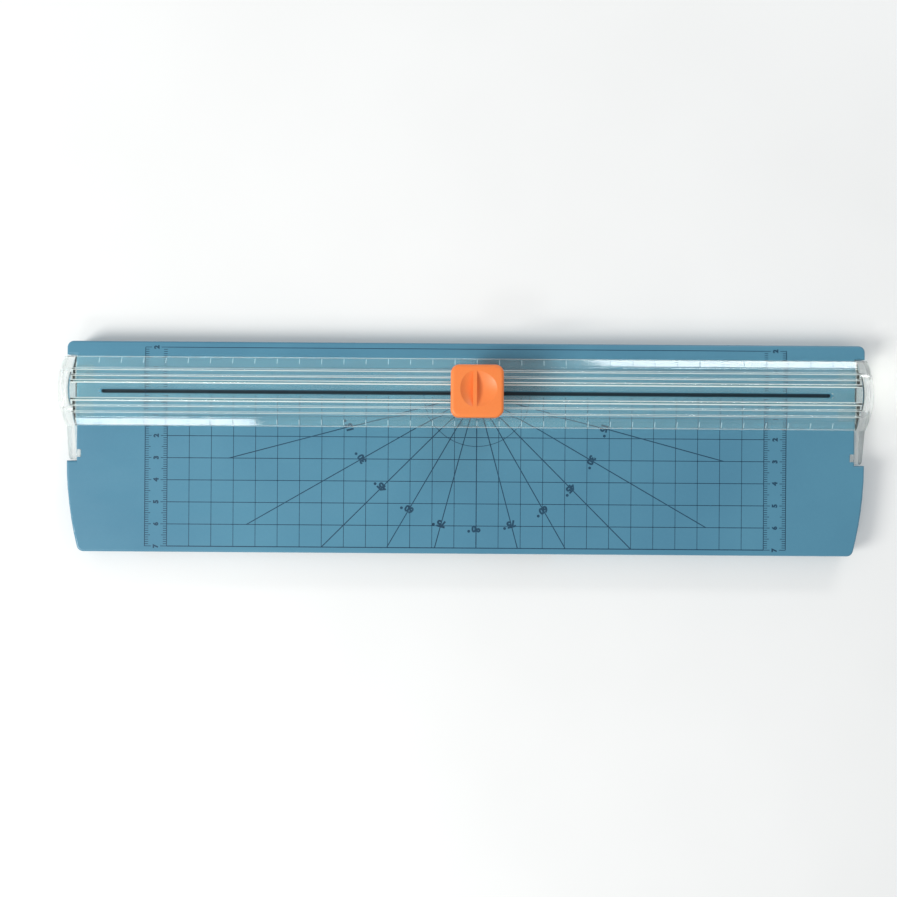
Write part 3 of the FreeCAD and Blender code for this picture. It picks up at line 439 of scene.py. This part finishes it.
def add_piece(name, bm, material, body, smooth=False):
    """Makes an object from bm, gives it its material, and lets it ride on a body."""
    bmesh.ops.recalc_face_normals(bm, faces=bm.faces)
    mesh = bpy.data.meshes.new(name)
    bm.to_mesh(mesh)
    bm.free()
    for polygon in mesh.polygons:
        polygon.use_smooth = smooth
    mesh.materials.append(MATERIALS[material])
    piece = bpy.data.objects.new(name, mesh)
    bpy.context.scene.collection.objects.link(piece)
    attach(piece, body)
    return piece


def add_skin(bm, rings):
    """A closed tube through rings of points, which all have as many points, with flat ends."""
    rings = [[bm.verts.new(point) for point in ring] for ring in rings]
    for first, second in zip(rings, rings[1:]):
        for i in range(len(first)):
            j = (i + 1) % len(first)
            bm.faces.new((first[i], first[j], second[j], second[i]))
    bm.faces.new(list(reversed(rings[0])))
    bm.faces.new(rings[-1])


def add_prism(bm, corners, low, high):
    """A closed prism that stands on a convex outline of (x, y) corners."""
    add_skin(bm, [[(x, y, height) for x, y in corners] for height in (low, high)])


def add_line(bm, start, end, width, low, high):
    """A straight band of ink."""
    start, end = Vector(start), Vector(end)
    along = (end - start).normalized()
    side = Vector((-along.y, along.x)) * width / 2
    add_prism(bm, (start - side, end - side, end + side, start + side), low, high)


def add_arc(bm, centre, radius, start, end, width, low, high, steps=48):
    """A curved band of ink, from one angle to another in degrees."""
    inner, outer = radius - width / 2, radius + width / 2
    rings = []
    for i in range(steps + 1):
        angle = math.radians(start + (end - start) * i / steps)
        rings.append([(centre.x + reach * math.cos(angle), centre.y + reach * math.sin(angle),
                       height)
                      for reach, height in ((inner, low), (outer, low),
                                            (outer, high), (inner, high))])
    add_skin(bm, rings)


def add_numeral(bm, text, height, place, turn, low, thickness):
    """Flat raised digits of a given height, centred on place and turned about Z by degrees."""
    curve = bpy.data.curves.new("numeral", "FONT")
    curve.body = text
    # Extruding by half a unit each way makes it one unit thick, for the matrix below to scale.
    curve.extrude = 0.5
    curve.size = 1.0
    curve.offset = NUMERAL_BOLDNESS
    curve.resolution_u = 3
    holder = bpy.data.objects.new("numeral", curve)
    bpy.context.scene.collection.objects.link(holder)
    graph = bpy.context.evaluated_depsgraph_get()
    mesh = bpy.data.meshes.new_from_object(holder.evaluated_get(graph))
    bpy.data.objects.remove(holder)
    bpy.data.curves.remove(curve)
    xs = [v.co.x for v in mesh.vertices]
    ys = [v.co.y for v in mesh.vertices]
    middle = Vector(((min(xs) + max(xs)) / 2, (min(ys) + max(ys)) / 2, 0))
    scale = height / (max(ys) - min(ys))
    matrix = (Matrix.Translation((place[0], place[1], low + thickness / 2))
              @ Matrix.Rotation(math.radians(turn), 4, "Z")
              @ Matrix.Diagonal((scale, scale, thickness, 1))
              @ Matrix.Translation(-middle))
    mesh.transform(matrix)
    bm.from_mesh(mesh)
    bpy.data.meshes.remove(mesh)


# ---------------------------------------------------------------- print


def below_cut(distance):
    """The y of a line on the base that lies so far from the cut, towards the user."""
    return CUT_LINE - distance


def tick_length(millimetres, lengths):
    """The length of the tick at a number of millimetres."""
    whole, half, single = lengths
    if millimetres % 10 == 0:
        return whole
    return half if millimetres % 5 == 0 else single


def angle_direction(angle):
    """The way that an angle line runs from the middle of the cut, towards the user."""
    return Vector((math.cos(math.radians(angle)), -math.sin(math.radians(angle))))


def add_grid(bm, low, high):
    """Squares of a centimetre, with a gap at the cut."""
    columns = round(2 * GRID_HALF_WIDTH / CENTIMETRE)
    for i in range(columns + 1):
        x = -GRID_HALF_WIDTH + i * CENTIMETRE
        width = INK_LINE if i in (0, columns) else INK_FINE
        add_line(bm, (x, below_cut(GRID_FRONT)), (x, below_cut(GRID_CLEARANCE)),
                 width, low, high)
    rows = round((GRID_FRONT + GRID_BACK) / CENTIMETRE)
    for i in range(rows + 1):
        distance = GRID_FRONT - i * CENTIMETRE
        if abs(distance) < GRID_CLEARANCE:
            continue
        y = below_cut(distance)
        width = INK_BOLD if i == 0 else INK_LINE
        add_line(bm, (-GRID_HALF_WIDTH, y), (GRID_HALF_WIDTH, y), width, low, high)


def add_ruler_strip(bm, side, low, high):
    """Millimetre ticks in from both edges of a strip, which leave room for the digits."""
    inner = side * GRID_HALF_WIDTH
    outer = side * (GRID_HALF_WIDTH + RULER_WIDTH)
    add_line(bm, (outer, below_cut(GRID_FRONT)), (outer, below_cut(-GRID_BACK)),
             INK_LINE, low, high)
    for i in range(round((GRID_FRONT + GRID_BACK) / MM) + 1):
        distance = GRID_FRONT - i * MM
        if abs(distance) < RULER_CLEARANCE:
            continue
        y = below_cut(distance)
        length = side * tick_length(i, RULER_TICKS)
        add_line(bm, (inner, y), (inner + length, y), INK_TICK, low, high)
        add_line(bm, (outer, y), (outer - length, y), INK_TICK, low, high)


def add_ruler_digits(bm, side, low):
    """The distance from the cut in centimetres, down the middle of a ruler."""
    x = side * (GRID_HALF_WIDTH + RULER_WIDTH / 2)
    first, last = -round(GRID_BACK / CENTIMETRE), round(GRID_FRONT / CENTIMETRE)
    for distance in range(first, last + 1):
        if distance != 0:
            add_numeral(bm, str(abs(distance)), RULER_DIGIT,
                        (x, below_cut(distance * CENTIMETRE)), 90, low, INK_THICKNESS)


def add_protractor(bm, low, high):
    """Angle lines from the middle of the cut, and the half circle they cross."""
    for angle in PROTRACTOR_ANGLES:
        tilt = min(angle, 180 - angle)
        length = ANGLE_LINE_ENDS.get(tilt, GRID_FRONT) / math.sin(math.radians(tilt))
        direction = angle_direction(angle)
        add_line(bm, PROTRACTOR_CENTRE + direction * ANGLE_LINE_START,
                 PROTRACTOR_CENTRE + direction * length, INK_BOLD, low, high)
    add_arc(bm, PROTRACTOR_CENTRE, ARC_RADIUS, 180, 360, INK_FINE, low, high)


def add_angle_labels(bm, low, high):
    """The number of each angle line, across the line, with a dot for the degree sign."""
    for angle in PROTRACTOR_ANGLES:
        outward = angle_direction(angle)
        across = Vector((-outward.y, outward.x))
        reach = LABEL_RADIUS - LABEL_RADIUS_LOSS * outward.x ** 2
        place = PROTRACTOR_CENTRE + outward * reach
        turn = math.degrees(math.atan2(outward.y, outward.x)) - 90
        add_numeral(bm, str(min(angle, 180 - angle)), ANGLE_DIGIT, place, turn,
                    low, INK_THICKNESS + 3 * INK_STEP)
        dot = place - across * DEGREE_DOT_ASIDE + outward * DEGREE_DOT_OUT
        turns = [2 * math.pi * i / DEGREE_DOT_CORNERS for i in range(DEGREE_DOT_CORNERS)]
        corners = [dot + Vector((math.cos(t), math.sin(t))) * DEGREE_DOT for t in turns]
        add_prism(bm, corners, low, high)


def print_base():
    """The grid, the rulers, the protractor and all their numbers, each as one piece of ink."""
    low = BASE_TOP + INK_LIFT
    high = low + INK_THICKNESS
    grid, rulers, protractor, numbers = (bmesh.new() for _ in range(4))
    add_grid(grid, low, high)
    add_protractor(protractor, low, high + 2 * INK_STEP)
    for side in (-1, 1):
        add_ruler_strip(rulers, side, low, high + INK_STEP)
        add_ruler_digits(numbers, side, low)
    add_angle_labels(numbers, low, high)
    add_piece("printed_grid", grid, "ink", "base")
    add_piece("printed_rulers", rulers, "ink", "base")
    add_piece("printed_protractor", protractor, "ink", "base")
    add_piece("printed_numbers", numbers, "ink", "base")


def print_ruler_arm():
    """The scale goes on from the base's: it reads right when the arm is swung out."""
    low = ARM_HIGH.z + INK_LIFT
    high = low + INK_THICKNESS
    half_width = (ARM_HIGH.y - ARM_LOW.y) / 2
    pivot = Vector((ARM_LOW.x + half_width, (ARM_LOW.y + ARM_HIGH.y) / 2))
    zero = pivot.x - below_cut(pivot.y)
    ticks, numbers = bmesh.new(), bmesh.new()
    for step in range(ARM_FIRST_CENTIMETRE * 10, ARM_LAST_CENTIMETRE * 10 + 1):
        x = zero + step * MM
        length = tick_length(step, ARM_TICKS)
        for side in (-1, 1):
            edge = pivot.y + side * (half_width - ARM_TICK_INSET)
            add_line(ticks, (x, edge), (x, edge - side * length), INK_FINE, low, high)
        if step % 10 == 0:
            add_numeral(numbers, str(step // 10), RULER_DIGIT, (x, pivot.y), 180,
                        low, INK_THICKNESS)
    add_piece("ruler_arm_ticks", ticks, "ink", "ruler_arm")
    add_piece("ruler_arm_numbers", numbers, "ink", "ruler_arm")


# ---------------------------------------------------------------- moulded and wound pieces


def mark_rail_flanges():
    """Raised marks, one each centimetre, that lie on the sloping flanges of the rail."""
    bm = bmesh.new()
    half = FLANGE_MARK_WIDTH / 2
    outline = ((FLANGE_MARK_INNER, -FLANGE_MARK_SINK), (FLANGE_MARK_OUTER, -FLANGE_MARK_SINK),
               (FLANGE_MARK_OUTER, FLANGE_MARK_RISE), (FLANGE_MARK_INNER, FLANGE_MARK_RISE))
    middle, furthest = PROTRACTOR_CENTRE.x, RAIL_HIGH.x - FLANGE_MARK_MARGIN
    first = math.ceil((-furthest - middle) / CENTIMETRE)
    last = math.floor((furthest - middle) / CENTIMETRE)
    for i in range(first, last + 1):
        x = middle + i * CENTIMETRE
        for side in (-1, 1):
            section = [(CUT_LINE + side * (reach + rise * FLANGE_SLOPE),
                        RAIL_LOW.z + height + rise)
                       for (reach, height), rise in outline]
            add_skin(bm, [[(x + end, y, z) for y, z in section] for end in (-half, half)])
    add_piece("rail_centimetre_marks", bm, "frosted_mark", "rail")


def make_coil(name, node):
    """A coil spring with closed ends, which rides on the cutter head."""
    lowest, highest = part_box(node)
    centre = (lowest + highest) / 2
    bottom, top = lowest.z + SPRING_WIRE, highest.z - SPRING_WIRE
    steps = SPRING_TURNS * SPRING_STEPS_PER_TURN
    rings = []
    for i in range(steps + 1):
        share = i / steps
        turn = 2 * math.pi * SPRING_TURNS * share
        eased = share - SPRING_END_EASE * math.sin(2 * math.pi * share)
        outward = Vector((math.cos(turn), math.sin(turn), 0))
        middle = Vector((centre.x, centre.y, bottom + (top - bottom) * eased))
        middle += outward * SPRING_RADIUS
        ring = []
        for j in range(SPRING_SIDES):
            angle = 2 * math.pi * j / SPRING_SIDES
            offset = outward * math.cos(angle) + Vector((0, 0, math.sin(angle)))
            ring.append(middle + offset * SPRING_WIRE)
        rings.append(ring)
    bm = bmesh.new()
    add_skin(bm, rings)
    piece = add_piece(name, bm, "spring_steel", "cutter_head", smooth=True)
    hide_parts(node)
    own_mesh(piece)


# ---------------------------------------------------------------- stage


def make_camera():
    """The view of the photograph, from straight above."""
    data = bpy.data.cameras.new("camera")
    data.sensor_width = CAMERA_SENSOR
    data.lens = CAMERA_SENSOR * CAMERA_HEIGHT / SEEN_WIDTH
    data.clip_start = 0.01
    data.clip_end = 10
    camera = bpy.data.objects.new("camera", data)
    camera.location = (CAMERA_X, 0, BASE_TOP + CAMERA_HEIGHT)
    camera.rotation_euler = (0, 0, math.radians(CAMERA_ROLL))
    bpy.context.scene.collection.objects.link(camera)
    bpy.context.scene.camera = camera


def make_floor():
    """A plain pale floor, which isn't part of the object."""
    bpy.ops.mesh.primitive_plane_add(size=FLOOR_SIZE, location=(0, 0, 0))
    floor = bpy.context.object
    floor.name = "floor"
    paper = Finish("floor_paper", IOR=1.45, Roughness=0.85)
    tone = paper.noise(6.0, detail=3.0)
    paper.colour(paper.mixed(paper.between(tone, 0.0, 1.0),
                             linear(238, 238, 236), linear(233, 233, 231)))
    floor.data.materials.append(paper.material)


def add_softbox(name, place, target, width, depth, power, tint):
    """A soft oval lamp that shines on a target and doesn't show through clear plastic."""
    data = bpy.data.lights.new(name, "AREA")
    data.shape = "ELLIPSE"
    data.size = width
    data.size_y = depth
    data.energy = power
    data.color = tint
    lamp = bpy.data.objects.new(name, data)
    lamp.location = place
    aim = Vector(target) - Vector(place)
    lamp.rotation_euler = aim.to_track_quat("-Z", "Y").to_euler()
    lamp.visible_transmission = False
    bpy.context.scene.collection.objects.link(lamp)


def light_studio():
    """Lamps reach what lies under clear plastic by shadow rays, and refracted rays don't see
    them. The world is reached by bounced rays only. So no light is counted twice."""
    world = bpy.data.worlds.new("studio")
    world.use_nodes = True
    background = next(n for n in world.node_tree.nodes if n.type == "BACKGROUND")
    background.inputs["Color"].default_value = (0.93, 0.96, 1.0, 1.0)
    background.inputs["Strength"].default_value = WORLD_STRENGTH
    world.cycles.sampling_method = "NONE"
    bpy.context.scene.world = world
    for lamp in LAMPS:
        add_softbox(*lamp)
    scene = bpy.context.scene
    scene.view_settings.view_transform = "Standard"
    scene.cycles.max_bounces = 20
    scene.cycles.transmission_bounces = 18
    scene.cycles.transparent_max_bounces = 16
    scene.cycles.caustics_refractive = True
    scene.cycles.caustics_reflective = False


dress_cad_nodes()
print_base()
mark_rail_flanges()
print_ruler_arm()
make_coil("return_coil_left", "return_spring_left")
make_coil("return_coil_right", "return_spring_right")
make_camera()
make_floor()
light_studio()
